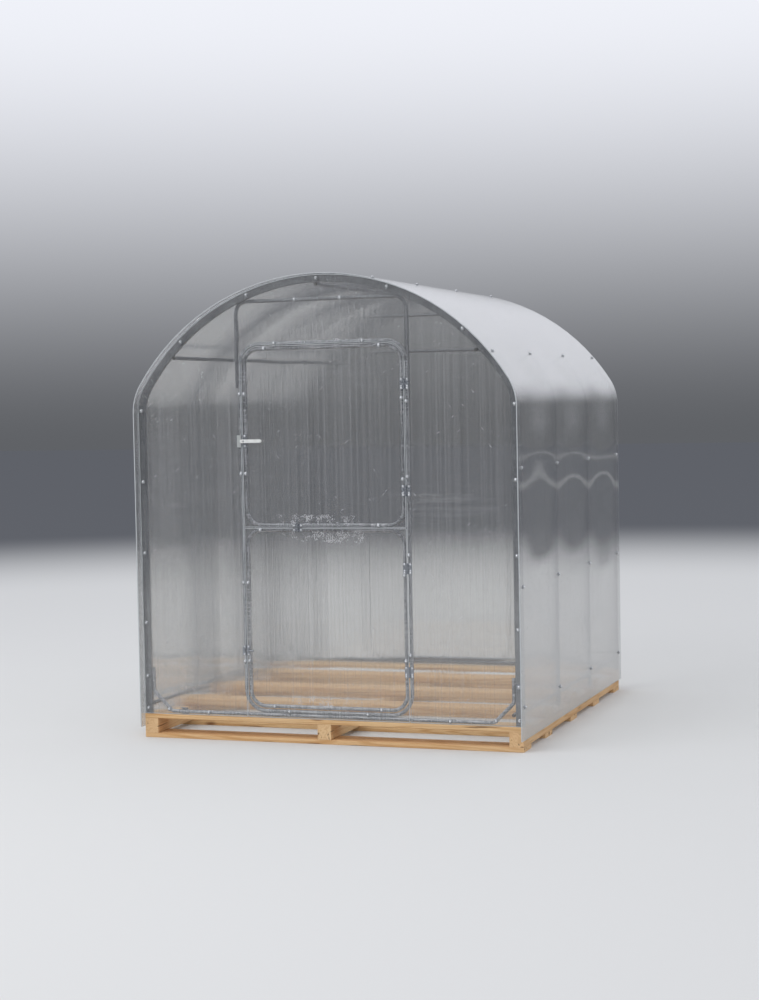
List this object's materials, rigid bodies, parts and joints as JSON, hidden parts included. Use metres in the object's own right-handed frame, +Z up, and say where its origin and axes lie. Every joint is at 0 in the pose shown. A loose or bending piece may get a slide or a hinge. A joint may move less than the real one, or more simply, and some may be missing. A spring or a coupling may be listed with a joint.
{
  "type": "arched polycarbonate greenhouse on a timber skid",
  "caption": "Arched garden greenhouse of steel tube and clear twin-wall sheet with a split stable door, on a timber skid base.",
  "frame": {"origin": "on the ground under the middle of the skid", "axes": "+X to the right seen from the door, +Y from the door gable to the back, +Z up"},
  "size_m": [1.9186, 2.1, 2.2216],
  "materials": {
    "galvanised_tube": "galvanised steel tube, dull grey with pale streaks",
    "twin_wall_sheet": "clear twin-wall polycarbonate with fine flutes",
    "pine": "sawn pine boards",
    "zinc_fittings": "zinc-plated pressed steel",
    "white_plastic": "moulded white plastic",
    "grey_plastic": "moulded grey plastic"
  },
  "bodies": {
    "greenhouse": {"arch_1": "galvanised_tube", "arch_2": "galvanised_tube", "arch_3": "galvanised_tube", "arch_4": "galvanised_tube", "ridge_purlin": "galvanised_tube", "left_roof_purlin": "galvanised_tube", "right_roof_purlin": "galvanised_tube", "left_base_rail": "galvanised_tube", "right_base_rail": "galvanised_tube", "front_foot_tube": "galvanised_tube", "back_foot_tube": "galvanised_tube", "front_brace_hoop": "galvanised_tube", "back_brace_hoop": "galvanised_tube", "front_door_ring": "galvanised_tube", "back_door_ring": "galvanised_tube", "cover_left_wall": "twin_wall_sheet", "cover_left_haunch": "twin_wall_sheet", "cover_roof_left": "twin_wall_sheet", "cover_roof_right": "twin_wall_sheet", "cover_right_haunch": "twin_wall_sheet", "cover_right_wall": "twin_wall_sheet", "front_gable_left": "twin_wall_sheet", "front_gable_right": "twin_wall_sheet", "front_gable_top": "twin_wall_sheet", "back_gable": "twin_wall_sheet", "stringers": "pine", "bottom_boards": "pine", "deck_boards": "pine", "jamb_hinge_plates": "zinc_fittings", "low_bolt_keeper": "zinc_fittings", "latch_keeper": "grey_plastic"},
    "upper_leaf": {"upper_leaf_frame": "galvanised_tube", "upper_leaf_sheet": "twin_wall_sheet", "upper_leaf_hinge_plates": "zinc_fittings", "latch_plate": "zinc_fittings", "mid_bolt_guide": "zinc_fittings"},
    "lower_leaf": {"lower_leaf_frame": "galvanised_tube", "lower_leaf_sheet": "twin_wall_sheet", "lower_leaf_hinge_plates": "zinc_fittings", "low_bolt_guide": "zinc_fittings", "mid_bolt_keeper": "zinc_fittings"},
    "latch_lever": {"latch_lever": "white_plastic"},
    "mid_bolt": {"mid_bolt_bar": "zinc_fittings"},
    "low_bolt": {"low_bolt_bar": "zinc_fittings"}
  },
  "joints": [
    {"name": "upper_leaf_hinge", "type": "hinge", "parent": "greenhouse", "child": "upper_leaf", "pos_m": [0.41, -1.008, 1.027], "axis": [0, 0, 1], "range_deg": [0, 160]},
    {"name": "lower_leaf_hinge", "type": "hinge", "parent": "greenhouse", "child": "lower_leaf", "pos_m": [0.41, -1.008, 0.354], "axis": [0, 0, 1], "range_deg": [0, 160]},
    {"name": "latch_turn", "type": "hinge", "parent": "upper_leaf", "child": "latch_lever", "pos_m": [-0.395, -1.0195, 1.439], "axis": [0, 1, 0], "range_deg": [0, 90]},
    {"name": "mid_bolt_slide", "type": "slide", "parent": "upper_leaf", "child": "mid_bolt", "axis": [0, 0, -1], "range_m": [0, 0.016]},
    {"name": "low_bolt_slide", "type": "slide", "parent": "lower_leaf", "child": "low_bolt", "axis": [-1, 0, 0], "range_m": [0, 0.016]}
  ]
}
